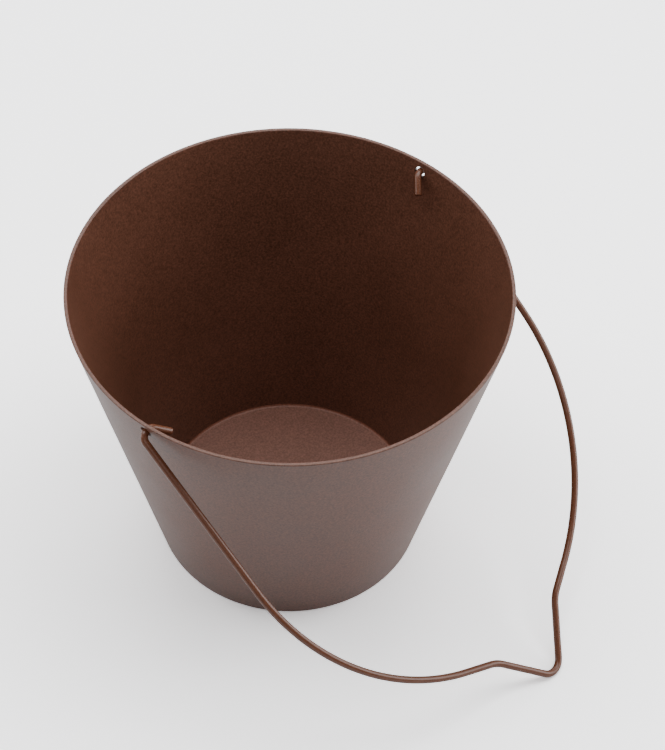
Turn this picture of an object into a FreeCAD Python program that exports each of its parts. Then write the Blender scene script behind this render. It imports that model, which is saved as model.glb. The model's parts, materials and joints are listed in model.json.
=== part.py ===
"""Florist bucket: a tapered steel wall, a base plate with its corner bead, and a wire bail.

The origin is the centre of the bottom face, +Z is up and the bail's hinge axis runs along X.
At rest the bail leans towards -Y with the tip of its V on the surface the bucket stands on.
"""
import FreeCAD, Part
import math
import os
import Sketcher

Vector = FreeCAD.Vector
POINT, START, END, CENTRE = 1, 1, 2, 3      # the positions a sketch constraint can name
ORIGIN = (-1, POINT)                        # the sketch's own origin
HORIZONTAL_AXIS, VERTICAL_AXIS = -1, -2     # the sketch's own axes

SIZES = {
    "rim_radius": 125.0,          # outside, at the top edge
    "foot_radius": 79.2,          # outside, at the bottom edge
    "bucket_height": 200.0,
    "wall_thickness": 2.2,        # square to the slope of the wall
    "rim_round": 0.6,             # both corners of the top edge
    "foot_round": 0.4,            # outer corner of the bottom edge
    "base_thickness": 1.5,
    "bead_leg": 1.6,              # along the base plate and up the wall
    "hinge_drop": 6.5,            # from the top edge down to the bail's holes
    "hole_radius": 3.25,
    "wire_radius": 2.1,
    "leg_reach": 127.5,           # all bail sizes are to the wire's centreline: out along the
    "shoulder_reach": 126.7,      # hinge axis is a reach, square to it and away is a rise
    "shoulder_rise": 193.4,
    "shoulder_bend": 142.9,
    "kink_reach": 29.4,           # the foot of the V in the middle of the grip
    "kink_rise": 243.4,
    "kink_bend": 22.3,
    "peak_rise": 280.2,           # where the two sides of the V would cross
    "peak_bend": 9.1,
    "end_bend": 5.0,              # the two tight bends at each wire end
    "hook_reach": 119.7,          # where the wire turns up inside the wall
    "tip_reach": 111.0,           # the cut end of the wire
    "tip_rise": 9.7,
    "tip_round": 0.5,
}

doc = FreeCAD.newDocument("florist_bucket")
sheet = doc.addObject("Spreadsheet::Sheet", "Sizes")
for row, (name, value) in enumerate(SIZES.items(), start=1):
    sheet.set("A%d" % row, name)
    sheet.set("B%d" % row, str(value))
    sheet.setAlias("B%d" % row, name)
doc.recompute()

# Sizes that follow from the driving ones, as the sheet's own expressions.
TAPER = "atan((Sizes.rim_radius - Sizes.foot_radius) / Sizes.bucket_height)"
INNER_FOOT = "Sizes.foot_radius - Sizes.wall_thickness / cos(%s)" % TAPER
HINGE_HEIGHT = "Sizes.bucket_height - Sizes.hinge_drop"
PEAK_HALF_ANGLE = "atan(Sizes.kink_reach / (Sizes.peak_rise - Sizes.kink_rise))"
PEAK_CENTRE = "Sizes.peak_rise - Sizes.peak_bend / sin(%s)" % PEAK_HALF_ANGLE
PEAK_TOP = "%s + Sizes.peak_bend" % PEAK_CENTRE
PLATE_FLARE = "Sizes.base_thickness * tan(%s)" % TAPER
PLATE_TOP_RADIUS = "%s + %s" % (INNER_FOOT, PLATE_FLARE)
REST_TURN = "90 + asin((%s - Sizes.wire_radius) / (%s)) / 1 deg" % (HINGE_HEIGHT, PEAK_TOP)


def add_body(name):
    """A named body for one sub-part."""
    body = doc.addObject("PartDesign::Body", name)
    body.Label = name
    return body


def origin_feature(body, role):
    """One of the body's own origin planes or axes."""
    return next(item for item in body.Origin.OriginFeatures if item.Role == role)


def add_sketch(body, name, plane):
    """A sketch on one of the body's own origin planes."""
    sketch = body.newObject("Sketcher::SketchObject", name)
    sketch.AttachmentSupport = (origin_feature(body, plane), "")
    sketch.MapMode = "FlatFace"
    return sketch


def value_of(expression):
    """What an expression comes to now, as a plain number (angles in degrees)."""
    result = sheet.evalExpression(expression)
    return float(getattr(result, "Value", result))


def bind(sketch, name, kind, where, expression):
    """Add a dimension to a sketch and tie it to the sheet."""
    value = value_of(expression)
    if kind == "Angle":
        value = math.radians(value)
    index = sketch.addConstraint(Sketcher.Constraint(kind, *where, value))
    sketch.renameConstraint(index, name)
    sketch.setExpression("Constraints.%s" % name, expression)


def place(sketch, name, where, across, along):
    """Put one point of a sketch at its two distances from the sketch's origin."""
    bind(sketch, name + "_across", "DistanceX", (*ORIGIN, *where), across)
    bind(sketch, name + "_along", "DistanceY", (*ORIGIN, *where), along)


def outline(sketch, points):
    """A closed outline of straight lines through the points, joined end to end."""
    ends = points[1:] + points[:1]
    lines = [
        sketch.addGeometry(Part.LineSegment(Vector(*start, 0), Vector(*end, 0)))
        for start, end in zip(points, ends)
    ]
    for line, following in zip(lines, lines[1:] + lines[:1]):
        sketch.addConstraint(Sketcher.Constraint("Coincident", line, END, following, START))
    return lines


def turn_about_z(body, name, sketch):
    """Revolve a half profile all the way round the vertical axis."""
    solid = body.newObject("PartDesign::Revolution", name)
    solid.Profile = sketch
    solid.ReferenceAxis = (sketch, ["V_Axis"])
    solid.Angle = 360
    doc.recompute()
    return solid


def ring_edges(shape, height, radius, tolerance=0.01):
    """The names of the full circles of one radius at one height."""
    return [
        "Edge%d" % number
        for number, edge in enumerate(shape.Edges, start=1)
        if isinstance(edge.Curve, Part.Circle)
        and abs(edge.Curve.Radius - radius) < tolerance
        and abs(edge.Curve.Center.z - height) < tolerance
    ]


def round_edges(body, name, base, edges, radius):
    """Round some edges of the body's last feature."""
    fillet = body.newObject("PartDesign::Fillet", name)
    fillet.Base = (base, edges)
    fillet.setExpression("Radius", radius)
    doc.recompute()
    return fillet


def make_wall_shell():
    """The wall: one tapered sheet, open at both ends, with two holes for the bail's ends."""
    body = add_body("wall_shell")
    profile = add_sketch(body, "WallProfile", "XZ_Plane")
    foot, rim = value_of("Sizes.foot_radius"), value_of("Sizes.rim_radius")
    top = value_of("Sizes.bucket_height")
    sideways = foot - value_of(INNER_FOOT)
    outer, edge, inner, bottom = outline(
        profile, [(foot, 0), (rim, top), (rim - sideways, top), (foot - sideways, 0)]
    )
    place(profile, "foot", (outer, START), "Sizes.foot_radius", "0")
    place(profile, "rim", (outer, END), "Sizes.rim_radius", "Sizes.bucket_height")
    profile.addConstraint(Sketcher.Constraint("Horizontal", edge))
    profile.addConstraint(Sketcher.Constraint("Parallel", outer, inner))
    profile.addConstraint(Sketcher.Constraint("PointOnObject", bottom, START, HORIZONTAL_AXIS))
    bind(profile, "thickness", "Distance", (inner, START, outer), "Sizes.wall_thickness")
    sheet_cone = turn_about_z(body, "TaperedSheet", profile)

    corners = ring_edges(sheet_cone.Shape, top, rim) + ring_edges(sheet_cone.Shape, top, rim - sideways)
    soft_rim = round_edges(body, "RimRound", sheet_cone, corners, "Sizes.rim_round")
    corners = ring_edges(soft_rim.Shape, 0, foot)
    soft_foot = round_edges(body, "FootRound", soft_rim, corners, "Sizes.foot_round")

    hole = add_sketch(body, "HoleOutline", "YZ_Plane")
    centre = Vector(0, value_of(HINGE_HEIGHT), 0)
    circle = hole.addGeometry(Part.Circle(centre, Vector(0, 0, 1), value_of("Sizes.hole_radius")))
    hole.addConstraint(Sketcher.Constraint("PointOnObject", circle, CENTRE, VERTICAL_AXIS))
    bind(hole, "hinge_height", "DistanceY", (*ORIGIN, circle, CENTRE), HINGE_HEIGHT)
    bind(hole, "radius", "Radius", (circle,), "Sizes.hole_radius")
    whole = soft_foot.Shape.Volume
    bores = body.newObject("PartDesign::Pocket", "BailHoles")
    bores.Profile = hole
    bores.Type = "ThroughAll"
    bores.SideType = "Symmetric"
    doc.recompute()
    removed = whole - bores.Shape.Volume
    expected = 2 * math.pi * value_of("Sizes.hole_radius") ** 2 * sideways
    print("both holes remove %.1f mm3, about %.1f expected" % (removed, expected))
    if abs(removed / expected - 1) > 0.05:
        raise SystemExit("the bail's holes don't go through both sides")
    return body


def make_base_plate():
    """The bottom: a flat disc cut to fit inside the wall's lower edge, flush underneath."""
    body = add_body("base_plate")
    profile = add_sketch(body, "PlateProfile", "XZ_Plane")
    radius, thick = value_of(INNER_FOOT), value_of("Sizes.base_thickness")
    under, edge, top, middle = outline(profile, [(0, 0), (radius, 0), (radius, thick), (0, thick)])
    profile.addConstraint(Sketcher.Constraint("Coincident", under, START, *ORIGIN))
    profile.addConstraint(Sketcher.Constraint("Horizontal", under))
    profile.addConstraint(Sketcher.Constraint("Horizontal", top))
    profile.addConstraint(Sketcher.Constraint("Vertical", middle))
    bind(profile, "radius", "DistanceX", (*ORIGIN, edge, START), INNER_FOOT)
    bind(profile, "thickness", "DistanceY", (*ORIGIN, edge, END), "Sizes.base_thickness")
    bind(profile, "flare", "DistanceX", (edge, START, edge, END), PLATE_FLARE)
    turn_about_z(body, "Plate", profile)
    return body


def make_corner_bead():
    """The bead that closes the corner between the base plate and the wall, equal on both."""
    body = add_body("corner_bead")
    profile = add_sketch(body, "BeadProfile", "XZ_Plane")
    corner = Vector(value_of(PLATE_TOP_RADIUS), value_of("Sizes.base_thickness"), 0)
    leg, taper = value_of("Sizes.bead_leg"), math.radians(value_of(TAPER))
    toe = corner - Vector(leg, 0, 0)
    crest = corner + Vector(math.sin(taper), math.cos(taper), 0) * leg
    floor, wall, _ = outline(profile, [(toe.x, toe.y), (corner.x, corner.y), (crest.x, crest.y)])
    profile.addConstraint(Sketcher.Constraint("Horizontal", floor))
    place(profile, "corner", (wall, START), PLATE_TOP_RADIUS, "Sizes.base_thickness")
    bind(profile, "floor_leg", "Distance", (floor,), "Sizes.bead_leg")
    bind(profile, "wall_leg", "Distance", (wall,), "Sizes.bead_leg")
    bind(profile, "wall_slope", "Angle", (wall,), "90 - %s / 1 deg" % TAPER)
    turn_about_z(body, "Bead", profile)
    return body


def tangent_arc(before, corner, after, radius):
    """Where an arc of one radius touches both runs at a corner, and its centre."""
    back, onward = (before - corner).normalize(), (after - corner).normalize()
    half = back.getAngle(onward) / 2
    cut = radius / math.tan(half)
    centre = corner + (back + onward).normalize() * (radius / math.sin(half))
    return corner + back * cut, centre, corner + onward * cut


def bent_run(sketch, start, corners, tip):
    """Straight runs of wire from corner to corner, joined by tangent arcs; gives the first run."""
    points = [Vector(value_of(reach), value_of(rise), 0) for reach, rise, bend in corners.values()]
    points = [start, *points, Vector(value_of(tip[0]), value_of(tip[1]), 0)]
    radii = [value_of(bend) for reach, rise, bend in corners.values()]
    touches = [
        tangent_arc(*points[number:number + 3], radius) for number, radius in enumerate(radii)
    ]
    begins = [start, *(leave for meet, centre, leave in touches)]
    ends = [*(meet for meet, centre, leave in touches), points[-1]]
    lines = [sketch.addGeometry(Part.LineSegment(*pair)) for pair in zip(begins, ends)]
    for number, (name, (reach, rise, bend)) in enumerate(corners.items()):
        meet, centre, leave = touches[number]
        spokes = [meet - centre, leave - centre]
        leftward = spokes[0].cross(spokes[1]).z > 0
        low, high = spokes if leftward else reversed(spokes)
        arc = sketch.addGeometry(
            Part.ArcOfCircle(
                Part.Circle(centre, Vector(0, 0, 1), radii[number]),
                math.atan2(low.y, low.x),
                math.atan2(high.y, high.x),
            )
        )
        near, far = (START, END) if leftward else (END, START)
        sketch.addConstraint(Sketcher.Constraint("Tangent", lines[number], END, arc, near))
        sketch.addConstraint(Sketcher.Constraint("Tangent", arc, far, lines[number + 1], START))
        bind(sketch, name + "_bend", "Radius", (arc,), bend)
        crossing = sketch.addGeometry(Part.Point(points[number + 1]), True)
        sketch.addConstraint(Sketcher.Constraint("PointOnObject", crossing, POINT, lines[number]))
        sketch.addConstraint(Sketcher.Constraint("PointOnObject", crossing, POINT, lines[number + 1]))
        place(sketch, name, (crossing, POINT), reach, rise)
    place(sketch, "tip", (lines[-1], END), *tip)
    return lines[0]


def make_bail_handle():
    """The bail: one round wire with a V in its grip and a hook at each end.

    It is bent flat, so its own frame has the hinge axis along X and the grip up +Z, and its
    placement lays it down. Half of it is swept from the tip of the V, then mirrored.
    """
    body = add_body("bail_handle")
    route = add_sketch(body, "WireRoute", "XZ_Plane")
    half_angle, radius = math.radians(value_of(PEAK_HALF_ANGLE)), value_of("Sizes.peak_bend")
    centre = Vector(0, value_of(PEAK_CENTRE), 0)
    peak = route.addGeometry(
        Part.ArcOfCircle(Part.Circle(centre, Vector(0, 0, 1), radius), half_angle, math.pi / 2)
    )
    route.addConstraint(Sketcher.Constraint("PointOnObject", peak, CENTRE, VERTICAL_AXIS))
    route.addConstraint(Sketcher.Constraint("PointOnObject", peak, END, VERTICAL_AXIS))
    bind(route, "peak_bend", "Radius", (peak,), "Sizes.peak_bend")
    first_run = bent_run(
        route,
        start=centre + Vector(math.cos(half_angle), math.sin(half_angle), 0) * radius,
        corners={
            "kink": ("Sizes.kink_reach", "Sizes.kink_rise", "Sizes.kink_bend"),
            "shoulder": ("Sizes.shoulder_reach", "Sizes.shoulder_rise", "Sizes.shoulder_bend"),
            "leg": ("Sizes.leg_reach", "0", "Sizes.end_bend"),
            "hook": ("Sizes.hook_reach", "0", "Sizes.end_bend"),
        },
        tip=("Sizes.tip_reach", "Sizes.tip_rise"),
    )
    route.addConstraint(Sketcher.Constraint("Tangent", peak, START, first_run, START))
    apex = route.addGeometry(Part.Point(Vector(0, value_of("Sizes.peak_rise"), 0)), True)
    route.addConstraint(Sketcher.Constraint("PointOnObject", apex, POINT, first_run))
    place(route, "peak", (apex, POINT), "0", "Sizes.peak_rise")

    section = add_sketch(body, "WireSection", "YZ_Plane")
    centre = Vector(0, value_of(PEAK_TOP), 0)
    circle = section.addGeometry(Part.Circle(centre, Vector(0, 0, 1), value_of("Sizes.wire_radius")))
    section.addConstraint(Sketcher.Constraint("PointOnObject", circle, CENTRE, VERTICAL_AXIS))
    bind(section, "peak_top", "DistanceY", (*ORIGIN, circle, CENTRE), PEAK_TOP)
    bind(section, "radius", "Radius", (circle,), "Sizes.wire_radius")
    doc.recompute()

    half = body.newObject("PartDesign::AdditivePipe", "HalfWire")
    half.Profile = section
    half.Spine = (route, [])
    doc.recompute()
    whole = body.newObject("PartDesign::Mirrored", "WholeWire")
    whole.Originals = [half]
    whole.MirrorPlane = (origin_feature(body, "YZ_Plane"), [""])
    body.Tip = whole
    doc.recompute()
    length = route.Shape.Length * 2
    swept = math.pi * value_of("Sizes.wire_radius") ** 2 * length
    print("wire length %.1f mm, volume %.1f of %.1f mm3" % (length, whole.Shape.Volume, swept))
    if abs(whole.Shape.Volume / swept - 1) > 0.01:
        raise SystemExit("the wire's volume isn't its section times its length")

    tips = [
        "Edge%d" % number
        for number, edge in enumerate(whole.Shape.Edges, start=1)
        if abs(abs(edge.CenterOfMass.x) - value_of("Sizes.tip_reach")) < 0.01
        and abs(edge.CenterOfMass.z - value_of("Sizes.tip_rise")) < 0.01
    ]
    round_edges(body, "TipRound", whole, tips, "Sizes.tip_round")
    body.Placement = FreeCAD.Placement(
        Vector(0, 0, value_of(HINGE_HEIGHT)), FreeCAD.Rotation(Vector(1, 0, 0), value_of(REST_TURN))
    )
    body.setExpression(".Placement.Base.z", HINGE_HEIGHT)
    body.setExpression(".Placement.Rotation.Angle", REST_TURN)
    return body


bodies = [make_wall_shell(), make_base_plate(), make_corner_bead(), make_bail_handle()]
doc.recompute()

for item in doc.Objects:
    if {"Invalid", "Error"} & set(item.State):
        raise SystemExit("%s did not build: %s" % (item.Name, item.State))
    if item.isDerivedFrom("Sketcher::SketchObject") and not item.FullyConstrained:
        raise SystemExit("%s is not fully constrained" % item.Name)
for body in bodies:
    if body.Shape.isNull() or not body.Shape.isValid() or len(body.Shape.Solids) != 1:
        raise SystemExit("%s is not one sound solid" % body.Label)

os.makedirs("parts", exist_ok=True)
for body in bodies:
    body.Shape.exportStep("parts/%s.step" % body.Label)
    box = body.Shape.optimalBoundingBox()
    spans = (box.XMin, box.XMax, box.YMin, box.YMax, box.ZMin, box.ZMax)
    print(body.Label, "%.1f cm3" % (body.Shape.Volume / 1000), "from %.1f to %.1f, " * 3 % spans)
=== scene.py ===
"""A florist's bucket: a tapered, powder-coated steel pail with a wire bail laid down in front."""

import json
import math

import bmesh
import bpy
from mathutils import Matrix, Vector, noise


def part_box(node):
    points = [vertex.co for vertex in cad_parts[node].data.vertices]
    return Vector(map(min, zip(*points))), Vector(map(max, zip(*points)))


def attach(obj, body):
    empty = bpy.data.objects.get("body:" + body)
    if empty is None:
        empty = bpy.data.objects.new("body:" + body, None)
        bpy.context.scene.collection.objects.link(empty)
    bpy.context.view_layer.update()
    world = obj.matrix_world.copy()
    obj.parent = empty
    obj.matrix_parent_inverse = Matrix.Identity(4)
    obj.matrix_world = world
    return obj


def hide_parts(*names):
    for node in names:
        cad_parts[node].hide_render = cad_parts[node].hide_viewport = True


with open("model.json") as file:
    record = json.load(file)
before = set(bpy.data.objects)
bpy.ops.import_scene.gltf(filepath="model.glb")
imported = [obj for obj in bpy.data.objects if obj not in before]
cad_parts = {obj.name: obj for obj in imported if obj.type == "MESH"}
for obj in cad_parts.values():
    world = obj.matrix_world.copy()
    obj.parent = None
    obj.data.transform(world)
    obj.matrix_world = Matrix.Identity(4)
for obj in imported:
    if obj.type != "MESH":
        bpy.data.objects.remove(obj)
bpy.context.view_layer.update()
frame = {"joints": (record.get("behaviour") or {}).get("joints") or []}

# ---------------------------------------------------------------------------------------------
# The wall: one sheet of steel 2.2 mm thick, rolled to a cone, its top edge softened by the coat.
# Two opposite holes close under the rim are punched for the bail and coated round their lips.
# ---------------------------------------------------------------------------------------------
MM = 0.001
RIM_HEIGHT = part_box("wall_shell")[1][2]
RIM_RADIUS = 125.0 * MM                 # of the cone, before the rim is rounded
FOOT_RADIUS = 79.2 * MM
SHEET = 2.2 * MM
RIM_ROUND = 0.6 * MM
FOOT_ROUND = 0.4 * MM
HOLE_RADIUS = 3.25 * MM
HOLE_LIP = 0.35 * MM
LIP_STEPS = 5
PATCH_SHARES = (0.35, 0.65, 0.85, 1.0)  # of the way from a window's edge to its hole
HINGE = Vector(frame["joints"][0]["pos_m"])
WALL_COLUMNS = 480
WALL_ROWS = 12                          # below the windows
ROW_MARGIN = 1 * MM                     # from the foot to the first row, and below the windows
WINDOW_COLUMNS = 4                      # each side of a hole, left out for the hole's own patch
WINDOW_ROWS = 8
WINDOW_DROPS = (13.0 * MM, 1.0 * MM)    # from the rim down to the window's lower and upper edges
taper = math.atan2(RIM_RADIUS - FOOT_RADIUS, RIM_HEIGHT)


def cone_radius(height, inside=False):
    """The radius of the wall's outer or inner face at a height."""
    outer = FOOT_RADIUS + height * math.tan(taper)
    return outer - SHEET / math.cos(taper) if inside else outer


def rounded(radius, height, size, start, stop, steps=5):
    """Points (radius, height) along an arc of one size, from one angle in degrees to another."""
    angles = [math.radians(start + (stop - start) * step / steps) for step in range(steps + 1)]
    return [(radius + size * math.cos(angle), height + size * math.sin(angle)) for angle in angles]


def add_ring(mesh, radius, height, columns):
    """One level ring of vertices."""
    turn = 2 * math.pi / columns
    return [
        mesh.verts.new((radius * math.cos(turn * column), radius * math.sin(turn * column), height))
        for column in range(columns)
    ]


def join_rings(mesh, first, second):
    """Quads between two closed rings of the same count."""
    count = len(first)
    for here in range(count):
        there = (here + 1) % count
        mesh.faces.new((first[here], first[there], second[there], second[here]))


def finish_mesh(mesh, name, material):
    """Turn a bmesh into a smooth, outward-facing object at the origin."""
    bmesh.ops.recalc_face_normals(mesh, faces=mesh.faces)
    data = bpy.data.meshes.new(name)
    mesh.to_mesh(data)
    mesh.free()
    data.shade_smooth()
    data.materials.append(material)
    piece = bpy.data.objects.new(name, data)
    bpy.context.scene.collection.objects.link(piece)
    return piece


def hole_patch(mesh, rows, side, inside):
    """Fill one window of the wall with rings that run from its edge to the hole; gives the last."""
    middle = 0 if side > 0 else WALL_COLUMNS // 2
    columns = [(middle + step) % WALL_COLUMNS for step in range(-WINDOW_COLUMNS, WINDOW_COLUMNS + 1)]
    low, high = rows[0], rows[-1]
    loop = [low[column] for column in columns]
    loop += [row[columns[-1]] for row in rows[1:-1]]
    loop += [high[column] for column in reversed(columns)]
    loop += [row[columns[0]] for row in reversed(rows[1:-1])]
    turn = side * 2 * math.pi / len(loop)
    start = math.radians(-135 if side > 0 else -45)
    spokes = [(math.cos(start + turn * step), math.sin(start + turn * step)) for step in range(len(loop))]

    def on_wall(across, height, depth=0.0):
        reach = math.sqrt(cone_radius(height, inside) ** 2 - across ** 2)
        return mesh.verts.new((side * (reach + (depth if inside else -depth)), across, height))

    lip_edge = HOLE_RADIUS + HOLE_LIP
    edges = [vert.co.copy() for vert in loop]
    for share in PATCH_SHARES:
        ring = [
            on_wall(
                edge.y * (1 - share) + spoke[0] * lip_edge * share,
                edge.z * (1 - share) + (HINGE.z + spoke[1] * lip_edge) * share,
            )
            for edge, spoke in zip(edges, spokes)
        ]
        join_rings(mesh, loop, ring)
        loop = ring
    for step in range(1, LIP_STEPS + 1):
        angle = math.pi / 2 * step / LIP_STEPS
        radius = HOLE_RADIUS + HOLE_LIP * (1 - math.sin(angle))
        depth = HOLE_LIP * (1 - math.cos(angle))
        ring = [on_wall(spoke[0] * radius, HINGE.z + spoke[1] * radius, depth) for spoke in spokes]
        join_rings(mesh, loop, ring)
        loop = ring
    return loop


def make_wall(material):
    """The wall as one closed mesh: up the outside, over the rim and down the inside."""
    slope = math.degrees(taper)
    window = [
        RIM_HEIGHT - WINDOW_DROPS[0] + (WINDOW_DROPS[0] - WINDOW_DROPS[1]) * row / WINDOW_ROWS
        for row in range(WINDOW_ROWS + 1)
    ]
    body = [(window[0] - ROW_MARGIN) * row / WALL_ROWS for row in range(1, WALL_ROWS + 1)]
    heights = [ROW_MARGIN, *body, *window]
    fillet = {name: size / math.cos(taper) for name, size in (("rim", RIM_ROUND), ("foot", FOOT_ROUND))}
    foot_level, rim_level = FOOT_ROUND, RIM_HEIGHT - RIM_ROUND
    inner_foot = cone_radius(foot_level, True) + fillet["foot"]
    inner_rim = cone_radius(rim_level, True) + fillet["rim"]
    profile = rounded(cone_radius(foot_level) - fillet["foot"], foot_level, FOOT_ROUND, -90, -slope)
    outside = range(len(profile), len(profile) + len(heights))
    profile += [(cone_radius(height), height) for height in heights]
    profile += rounded(cone_radius(rim_level) - fillet["rim"], rim_level, RIM_ROUND, -slope, 90)
    profile += rounded(inner_rim, rim_level, RIM_ROUND, 90, 180 - slope)
    inside = range(len(profile), len(profile) + len(heights))
    profile += [(cone_radius(height, True), height) for height in reversed(heights)]
    profile += rounded(inner_foot, foot_level, FOOT_ROUND, 180 - slope, 270)

    mesh = bmesh.new()
    rings = [add_ring(mesh, radius, height, WALL_COLUMNS) for radius, height in profile]
    windows = {*outside[-WINDOW_ROWS - 1:-1], *inside[:WINDOW_ROWS]}
    for number, ring in enumerate(rings):
        following = rings[(number + 1) % len(rings)]
        for column in range(WALL_COLUMNS):
            half_turn = WALL_COLUMNS // 2
            offset = (column + WINDOW_COLUMNS) % half_turn
            if number in windows and offset < 2 * WINDOW_COLUMNS:
                continue
            onward = (column + 1) % WALL_COLUMNS
            mesh.faces.new((ring[column], ring[onward], following[onward], following[column]))
    outer_rows = [rings[number] for number in outside[-WINDOW_ROWS - 1:]]
    inner_rows = [rings[number] for number in reversed(inside[:WINDOW_ROWS + 1])]
    for side in (1, -1):
        outer_lip = hole_patch(mesh, outer_rows, side, False)
        join_rings(mesh, outer_lip, hole_patch(mesh, inner_rows, side, True))
    return finish_mesh(mesh, "bucket_wall", material)


# The coat on every piece: brown polyester powder, satin, baked to a fine orange peel. The pattern
# gives the peel's height, the patchy tone of the film, and how its gloss varies.
def make_coat_pattern():
    group = bpy.data.node_groups.new("baked powder film", "ShaderNodeTree")
    face = group.interface
    face.new_socket("Vector", in_out="INPUT", socket_type="NodeSocketVector")
    for name, value in (("Peel Scale", 850.0), ("Cloud Scale", 18.0)):
        face.new_socket(name, in_out="INPUT", socket_type="NodeSocketFloat").default_value = value
    for name in ("Height", "Tone", "Gloss"):
        face.new_socket(name, in_out="OUTPUT", socket_type="NodeSocketFloat")
    nodes, links = group.nodes, group.links
    given, result = nodes.new("NodeGroupInput"), nodes.new("NodeGroupOutput")

    def pattern(scale_from, factor, detail, rough):
        scale = nodes.new("ShaderNodeMath")
        scale.operation = "MULTIPLY"
        links.new(given.outputs[scale_from], scale.inputs[0])
        scale.inputs[1].default_value = factor
        texture = nodes.new("ShaderNodeTexNoise")
        texture.inputs["Detail"].default_value = detail
        texture.inputs["Roughness"].default_value = rough
        links.new(given.outputs["Vector"], texture.inputs["Vector"])
        links.new(scale.outputs[0], texture.inputs["Scale"])
        return texture.outputs["Fac"]

    def mixed(first, second, share):
        blend = nodes.new("ShaderNodeMix")
        blend.inputs["Factor"].default_value = share
        links.new(first, blend.inputs["A"])
        links.new(second, blend.inputs["B"])
        return blend.outputs["Result"]

    peel = pattern("Peel Scale", 1.0, 2.0, 0.5)
    sand = pattern("Peel Scale", 3.1, 1.0, 0.5)
    cloud = pattern("Cloud Scale", 1.0, 3.0, 0.55)
    grain = mixed(peel, sand, 0.35)
    links.new(grain, result.inputs["Height"])
    links.new(mixed(grain, cloud, 0.14), result.inputs["Tone"])
    links.new(mixed(cloud, sand, 0.4), result.inputs["Gloss"])
    return group


coat_pattern = make_coat_pattern()


def make_coat(name, dark, light, gloss, ior=1.53, peel_scale=850.0, bump=0.55):
    """A powder-coat material: two close browns, a range of roughness, and the peel as bump."""
    material = bpy.data.materials.new(name)
    material.use_nodes = True
    nodes, links = material.node_tree.nodes, material.node_tree.links
    shader = nodes["Principled BSDF"]
    place = nodes.new("ShaderNodeTexCoord")
    film = nodes.new("ShaderNodeGroup")
    film.node_tree = coat_pattern
    film.inputs["Peel Scale"].default_value = peel_scale
    links.new(place.outputs["Object"], film.inputs["Vector"])
    tone = nodes.new("ShaderNodeValToRGB")
    tone.color_ramp.elements[0].position, tone.color_ramp.elements[1].position = 0.36, 0.64
    tone.color_ramp.elements[0].color = (*dark, 1)
    tone.color_ramp.elements[1].color = (*light, 1)
    links.new(film.outputs["Tone"], tone.inputs["Fac"])
    links.new(tone.outputs["Color"], shader.inputs["Base Color"])
    shader.inputs["IOR"].default_value = ior
    rough = nodes.new("ShaderNodeMapRange")
    rough.inputs["From Min"].default_value, rough.inputs["From Max"].default_value = 0.3, 0.7
    rough.inputs["To Min"].default_value, rough.inputs["To Max"].default_value = gloss
    links.new(film.outputs["Gloss"], rough.inputs["Value"])
    links.new(rough.outputs["Result"], shader.inputs["Roughness"])
    relief = nodes.new("ShaderNodeBump")
    relief.inputs["Strength"].default_value = bump
    relief.inputs["Distance"].default_value = 0.12 * MM
    links.new(film.outputs["Height"], relief.inputs["Height"])
    links.new(relief.outputs["Normal"], shader.inputs["Normal"])
    return material


wall_coat = make_coat("wall_coat", (0.062, 0.024, 0.013), (0.178, 0.071, 0.044), (0.29, 0.38))
wall = make_wall(wall_coat)
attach(wall, "bucket")
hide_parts("wall_shell")

# ---------------------------------------------------------------------------------------------
# The base: a flat disc cut to fit inside the wall's lower edge, flush underneath, where the two
# rounded edges leave a fine groove.
# ---------------------------------------------------------------------------------------------
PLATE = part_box("base_plate")[1][2]
PLATE_EDGE = 0.5 * MM
PLATE_COLUMNS = 240
PLATE_SHARES = (0.02, 0.3, 0.6, 0.9, 0.99)  # of the way out, where the flat faces have a ring


def make_base(material):
    slope = math.degrees(taper)
    edge_centre = cone_radius(PLATE_EDGE, True) - PLATE_EDGE / math.cos(taper)
    low = rounded(edge_centre, PLATE_EDGE, PLATE_EDGE, -90, -slope)
    edge = [*low, (cone_radius(PLATE, True), PLATE)]
    under = [(low[0][0] * share, 0.0) for share in PLATE_SHARES]
    top = [(radius, PLATE) for radius, height in reversed(under)]
    mesh = bmesh.new()
    rings = [add_ring(mesh, radius, height, PLATE_COLUMNS) for radius, height in [*under, *edge, *top]]
    for first, second in zip(rings, rings[1:]):
        join_rings(mesh, first, second)
    for ring, height in ((rings[0], 0.0), (rings[-1], PLATE)):
        centre = mesh.verts.new((0, 0, height))
        for here, there in zip(ring, ring[1:] + ring[:1]):
            mesh.faces.new((here, there, centre))
    return finish_mesh(mesh, "bucket_base", material)


# The base's brown is the wall's powder made lighter: painted light for the overhead light that falls on
# the disc.
base_coat = make_coat("base_coat", (0.112, 0.042, 0.025), (0.240, 0.098, 0.064), (0.37, 0.49))
base = make_base(base_coat)
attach(base, "bucket")
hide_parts("base_plate")

# ---------------------------------------------------------------------------------------------
# The bead: a thin, smooth run that closes the inside corner between the base and the wall. It is
# laid by hand with a hollow face and coated over, so that its width wanders a little.
# ---------------------------------------------------------------------------------------------
BEAD_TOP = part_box("corner_bead")[1][2]
BEAD_LEG = (BEAD_TOP - PLATE) / math.cos(taper)
BEAD_SINK = 0.06 * MM                   # into the plate and the wall, so that no gap shows
BEAD_WIDTH, BEAD_WANDER = 0.93, 0.06    # shares of its leg
BEAD_RIPPLE = 9
BEAD_HOLLOW = 0.42                      # of the way back to the corner
BEAD_STEPS = 8


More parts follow.
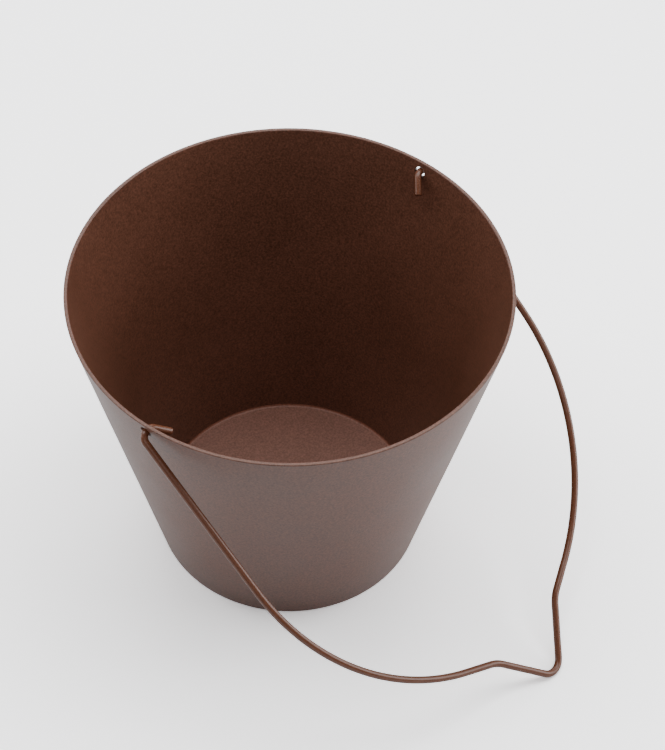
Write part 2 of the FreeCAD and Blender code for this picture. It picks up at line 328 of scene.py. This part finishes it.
def make_bead(material):
    corner = Vector((cone_radius(PLATE, True), PLATE))
    wall_way = Vector((math.sin(taper), math.cos(taper)))
    inward = Vector((-math.cos(taper), math.sin(taper)))
    mesh = bmesh.new()
    rings = [[] for step in range(BEAD_STEPS + 2)]
    for column in range(PLATE_COLUMNS):
        angle = 2 * math.pi * column / PLATE_COLUMNS
        spoke = Vector((math.cos(angle), math.sin(angle), 0))
        wander = BEAD_WIDTH + BEAD_WANDER * noise.noise(spoke * BEAD_RIPPLE)
        toe = corner + Vector((-BEAD_LEG * wander, -BEAD_SINK))
        crest = corner + wall_way * BEAD_LEG * wander - inward * BEAD_SINK
        hollow = (corner - (toe + crest) / 2) * BEAD_HOLLOW
        root = corner - inward * BEAD_SINK - Vector((0, BEAD_SINK))
        section = [
            toe.lerp(crest, step / BEAD_STEPS) + hollow * math.sin(math.pi * step / BEAD_STEPS)
            for step in range(BEAD_STEPS + 1)
        ]
        for ring, point in zip(rings, [*section, root]):
            ring.append(mesh.verts.new((spoke * point.x) + Vector((0, 0, point.y))))
    for first, second in zip(rings, rings[1:] + rings[:1]):
        join_rings(mesh, first, second)
    return finish_mesh(mesh, "corner_bead_run", material)


# The bead's brown is the same powder, darkened and reddened against the overhead light on its
# upward-facing hollow: painted shade.
bead_coat = make_coat("bead_coat", (0.140, 0.048, 0.027), (0.250, 0.088, 0.050), (0.45, 0.58), ior=1.5)
bead = make_bead(bead_coat)
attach(bead, "bucket")
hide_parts("corner_bead")

# ---------------------------------------------------------------------------------------------
# The bail: 4 mm steel wire bent flat, with a V in the middle of the grip for a hanging hook. Each
# end goes in through its hole and turns up inside, and is sheared off square.
# ---------------------------------------------------------------------------------------------
WIRE_RADIUS = 2.095 * MM                # over its coat
WIRE_STEPS = 24
TIP_ROUND = 0.5 * MM
# Each corner: reach along the hinge axis, rise away from it, radius of the bend, points in the bend
BAIL_CORNERS = [
    (127.5, 0.0, 5.0, 12),
    (126.7, 193.4, 142.9, 64),
    (29.4, 243.4, 22.3, 16),
]
BAIL_PEAK = (0.0, 280.2, 9.1, 20)
HOOK_CORNER = (119.7, 0.0, 5.0, 10)
HOOK_TIP = (111.0, 9.7)
TIP_SHARES = (0, 0.04, 0.15, 0.35, 0.65, 1.0)


def make_bent_wire_tree():
    """Bends a polyline into wire: fillets its corners, runs a round section along it, caps it."""
    tree = bpy.data.node_groups.new("bent wire", "GeometryNodeTree")
    face = tree.interface
    face.new_socket("Geometry", in_out="INPUT", socket_type="NodeSocketGeometry")
    for name in ("Wire Radius", "Tip Round"):
        face.new_socket(name, in_out="INPUT", socket_type="NodeSocketFloat")
    face.new_socket("Section Steps", in_out="INPUT", socket_type="NodeSocketInt")
    face.new_socket("Coat", in_out="INPUT", socket_type="NodeSocketMaterial")
    face.new_socket("Geometry", in_out="OUTPUT", socket_type="NodeSocketGeometry")
    nodes, links = tree.nodes, tree.links
    given, result = nodes.new("NodeGroupInput"), nodes.new("NodeGroupOutput")

    def stored(name, kind):
        attribute = nodes.new("GeometryNodeInputNamedAttribute")
        attribute.data_type = kind
        attribute.inputs["Name"].default_value = name
        return attribute.outputs["Attribute"]

    def calculate(operation, first, second=None):
        step = nodes.new("ShaderNodeMath")
        step.operation = operation
        for socket, value in zip(step.inputs, (first, second)):
            if isinstance(value, (int, float)):
                socket.default_value = value
            elif value is not None:
                links.new(value, socket)
        return step.outputs[0]

    route = nodes.new("GeometryNodeMeshToCurve")
    links.new(given.outputs["Geometry"], route.inputs["Mesh"])
    bends = nodes.new("GeometryNodeFilletCurve")
    bends.mode = "POLY"
    links.new(route.outputs["Curve"], bends.inputs["Curve"])
    links.new(stored("bend_points", "INT"), bends.inputs["Count"])
    links.new(stored("bend_radius", "FLOAT"), bends.inputs["Radius"])

    # towards a cut end the section shrinks along a quarter circle
    along = nodes.new("GeometryNodeSplineParameter").outputs["Length"]
    whole = nodes.new("GeometryNodeSplineLength").outputs["Length"]
    from_end = calculate("MINIMUM", along, calculate("SUBTRACT", whole, along))
    short = calculate("SUBTRACT", given.outputs["Tip Round"], from_end)
    short = calculate("MAXIMUM", short, 0.0)
    square = calculate("MULTIPLY", given.outputs["Tip Round"], given.outputs["Tip Round"])
    height = calculate("SQRT", calculate("SUBTRACT", square, calculate("MULTIPLY", short, short)))
    lost = calculate("SUBTRACT", given.outputs["Tip Round"], height)
    share = calculate("SUBTRACT", 1.0, calculate("DIVIDE", lost, given.outputs["Wire Radius"]))

    section = nodes.new("GeometryNodeCurvePrimitiveCircle")
    links.new(given.outputs["Section Steps"], section.inputs["Resolution"])
    links.new(given.outputs["Wire Radius"], section.inputs["Radius"])
    wire = nodes.new("GeometryNodeCurveToMesh")
    wire.inputs["Fill Caps"].default_value = True
    links.new(bends.outputs["Curve"], wire.inputs["Curve"])
    links.new(section.outputs["Curve"], wire.inputs["Profile Curve"])
    links.new(share, wire.inputs["Scale"])
    smooth = nodes.new("GeometryNodeSetShadeSmooth")
    links.new(wire.outputs["Mesh"], smooth.inputs["Geometry"])
    real = nodes.new("GeometryNodeRealizeInstances")
    links.new(smooth.outputs["Geometry"], real.inputs["Geometry"])
    coat = nodes.new("GeometryNodeSetMaterial")
    links.new(real.outputs["Geometry"], coat.inputs["Geometry"])
    links.new(given.outputs["Coat"], coat.inputs["Material"])
    links.new(coat.outputs["Geometry"], result.inputs["Geometry"])
    return tree


def make_bail(material):
    """The wire's corners laid out in the bail's plane, then bent and swept by the tree."""
    peak_half = math.atan2(BAIL_CORNERS[-1][0], BAIL_PEAK[1] - BAIL_CORNERS[-1][1])
    peak_top = (BAIL_PEAK[1] - BAIL_PEAK[2] / math.sin(peak_half) + BAIL_PEAK[2]) * MM
    lean = math.asin((HINGE.z - WIRE_RADIUS) / peak_top)
    outward = Vector((0, -math.cos(lean), -math.sin(lean)))
    tip, hook = Vector(HOOK_TIP), Vector(HOOK_CORNER[:2])
    back = (hook - tip).normalized()
    tip_steps = [tip + back * (TIP_ROUND / MM) * share for share in TIP_SHARES]
    right_half = [(point.x, point.y, 0.0, 1) for point in tip_steps] + [HOOK_CORNER, *BAIL_CORNERS]
    left_half = [(-reach, rise, bend, count) for reach, rise, bend, count in reversed(right_half)]
    corners = [*right_half, BAIL_PEAK, *left_half]

    route = bpy.data.meshes.new("bail_route")
    places = [
        HINGE + Vector((reach * MM, 0, 0)) + outward * (rise * MM)
        for reach, rise, bend, count in corners
    ]
    route.from_pydata(places, [(number, number + 1) for number in range(len(places) - 1)], [])
    radii = route.attributes.new("bend_radius", "FLOAT", "POINT")
    radii.data.foreach_set("value", [bend * MM for reach, rise, bend, count in corners])
    counts = route.attributes.new("bend_points", "INT", "POINT")
    counts.data.foreach_set("value", [count for reach, rise, bend, count in corners])
    blank = bpy.data.objects.new("bail_route", route)
    bpy.context.scene.collection.objects.link(blank)

    bending = blank.modifiers.new("bending", "NODES")
    bending.node_group = make_bent_wire_tree()
    sockets = {item.name: item.identifier for item in bending.node_group.interface.items_tree}
    for name, value in (
        ("Wire Radius", WIRE_RADIUS),
        ("Tip Round", TIP_ROUND),
        ("Section Steps", WIRE_STEPS),
        ("Coat", material),
    ):
        bending[sockets[name]] = value
    shaped = blank.evaluated_get(bpy.context.evaluated_depsgraph_get())
    data = bpy.data.meshes.new_from_object(shaped)
    data.name = "bail_wire"
    bpy.data.objects.remove(blank)
    piece = bpy.data.objects.new("bail_wire", data)
    bpy.context.scene.collection.objects.link(piece)
    return piece


bail_coat = make_coat(
    "bail_coat", (0.086, 0.029, 0.013), (0.156, 0.054, 0.027), (0.15, 0.24),
    ior=1.46, peel_scale=1200.0, bump=0.15,
)
bail = make_bail(bail_coat)
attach(bail, "bail")
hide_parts("bail_handle")

# ---------------------------------------------------------------------------------------------
# The studio: white paper under the bucket, a broad soft panel overhead, weaker ones at both sides,
# behind and in front, a weak even fill, and a long lens from the front and above.
# ---------------------------------------------------------------------------------------------
PAPER_SIZE = 12
PAPER_WHITE = (0.85, 0.85, 0.86, 1)
PAPER_SHOWN = (2.2, 2.2, 2.23, 1)       # to the camera, so that the paper washes out
A_COLOR, B_COLOR, MIXED_COLOR = 6, 7, 2  # the mix node's colour sockets
bpy.ops.mesh.primitive_plane_add(size=PAPER_SIZE)
paper = bpy.context.object
paper.name = "studio_paper"
paper_white = bpy.data.materials.new("paper_white")
paper_white.use_nodes = True
paper_nodes, paper_links = paper_white.node_tree.nodes, paper_white.node_tree.links
paper_nodes.clear()
paper_end = paper_nodes.new("ShaderNodeOutputMaterial")
matt = paper_nodes.new("ShaderNodeBsdfDiffuse")
ray = paper_nodes.new("ShaderNodeLightPath")
shown = paper_nodes.new("ShaderNodeMix")
shown.data_type = "RGBA"
shown.inputs[A_COLOR].default_value = PAPER_WHITE
shown.inputs[B_COLOR].default_value = PAPER_SHOWN
paper_links.new(ray.outputs["Is Camera Ray"], shown.inputs["Factor"])
paper_links.new(shown.outputs[MIXED_COLOR], matt.inputs["Color"])
paper_links.new(matt.outputs["BSDF"], paper_end.inputs["Surface"])
paper.data.materials.append(paper_white)

world = bpy.data.worlds.new("studio_fill")
bpy.context.scene.world = world
world.use_nodes = True
fill = world.node_tree.nodes["Background"]
fill.inputs["Color"].default_value = (1, 1, 1, 1)
fill.inputs["Strength"].default_value = 0.25

VIEW_FORWARD = Vector((0.5159, 0.3807, -0.7674)).normalized()
VIEW_RIGHT = Vector((0.5938, -0.8046, 0)).normalized()
VIEW_ROLL = math.radians(1.47)
CAMERA_PLACE = (-0.7242, -0.5644, 1.2241)
PANEL_AIM = Vector((0, 0, 0.1))
view_back = Vector((VIEW_FORWARD.x, VIEW_FORWARD.y, 0)).normalized()


def add_softbox(name, back, right, height, size, glow, across):
    """A soft panel facing the bucket, placed by how far behind, to the right of and above it."""
    lamp = bpy.data.lights.new(name, "AREA")
    lamp.shape = "RECTANGLE"
    lamp.size, lamp.size_y = size
    lamp.energy = glow * math.pi * size[0] * size[1]
    softbox = bpy.data.objects.new(name, lamp)
    bpy.context.scene.collection.objects.link(softbox)
    place = view_back * back + VIEW_RIGHT * right + Vector((0, 0, height))
    out = (place - PANEL_AIM).normalized()
    upward = out.cross(across).normalized()
    facing = Matrix((upward.cross(out), upward, out)).transposed().to_4x4()
    softbox.matrix_world = Matrix.Translation(place) @ facing


add_softbox("overhead_strip", 0.2, 0.0, 1.5, (2.4, 0.8), 4.0, VIEW_RIGHT)
add_softbox("left_flat", 0.3, -1.8, 0.7, (1.6, 1.2), 2.4, view_back)
add_softbox("right_flat", 0.3, 1.8, 0.7, (1.6, 1.2), 4.3, view_back)
add_softbox("back_flat", 1.45, 0.0, 1.5, (1.8, 0.8), 3.0, VIEW_RIGHT)
add_softbox("front_flat", -1.5, 0.2, 1.3, (1.6, 0.8), 1.0, VIEW_RIGHT)

camera_data = bpy.data.cameras.new("camera")
camera = bpy.data.objects.new("camera", camera_data)
bpy.context.scene.collection.objects.link(camera)
bpy.context.scene.camera = camera
view_up = VIEW_RIGHT.cross(VIEW_FORWARD)
side = VIEW_RIGHT * math.cos(VIEW_ROLL) + view_up * math.sin(VIEW_ROLL)
top = view_up * math.cos(VIEW_ROLL) - VIEW_RIGHT * math.sin(VIEW_ROLL)
turned = Matrix((side, top, -VIEW_FORWARD)).transposed().to_4x4()
camera.matrix_world = Matrix.Translation(CAMERA_PLACE) @ turned
camera_data.sensor_width = 36
camera_data.lens = 119.5
camera_data.shift_x = 0.0012
camera_data.shift_y = -0.0007
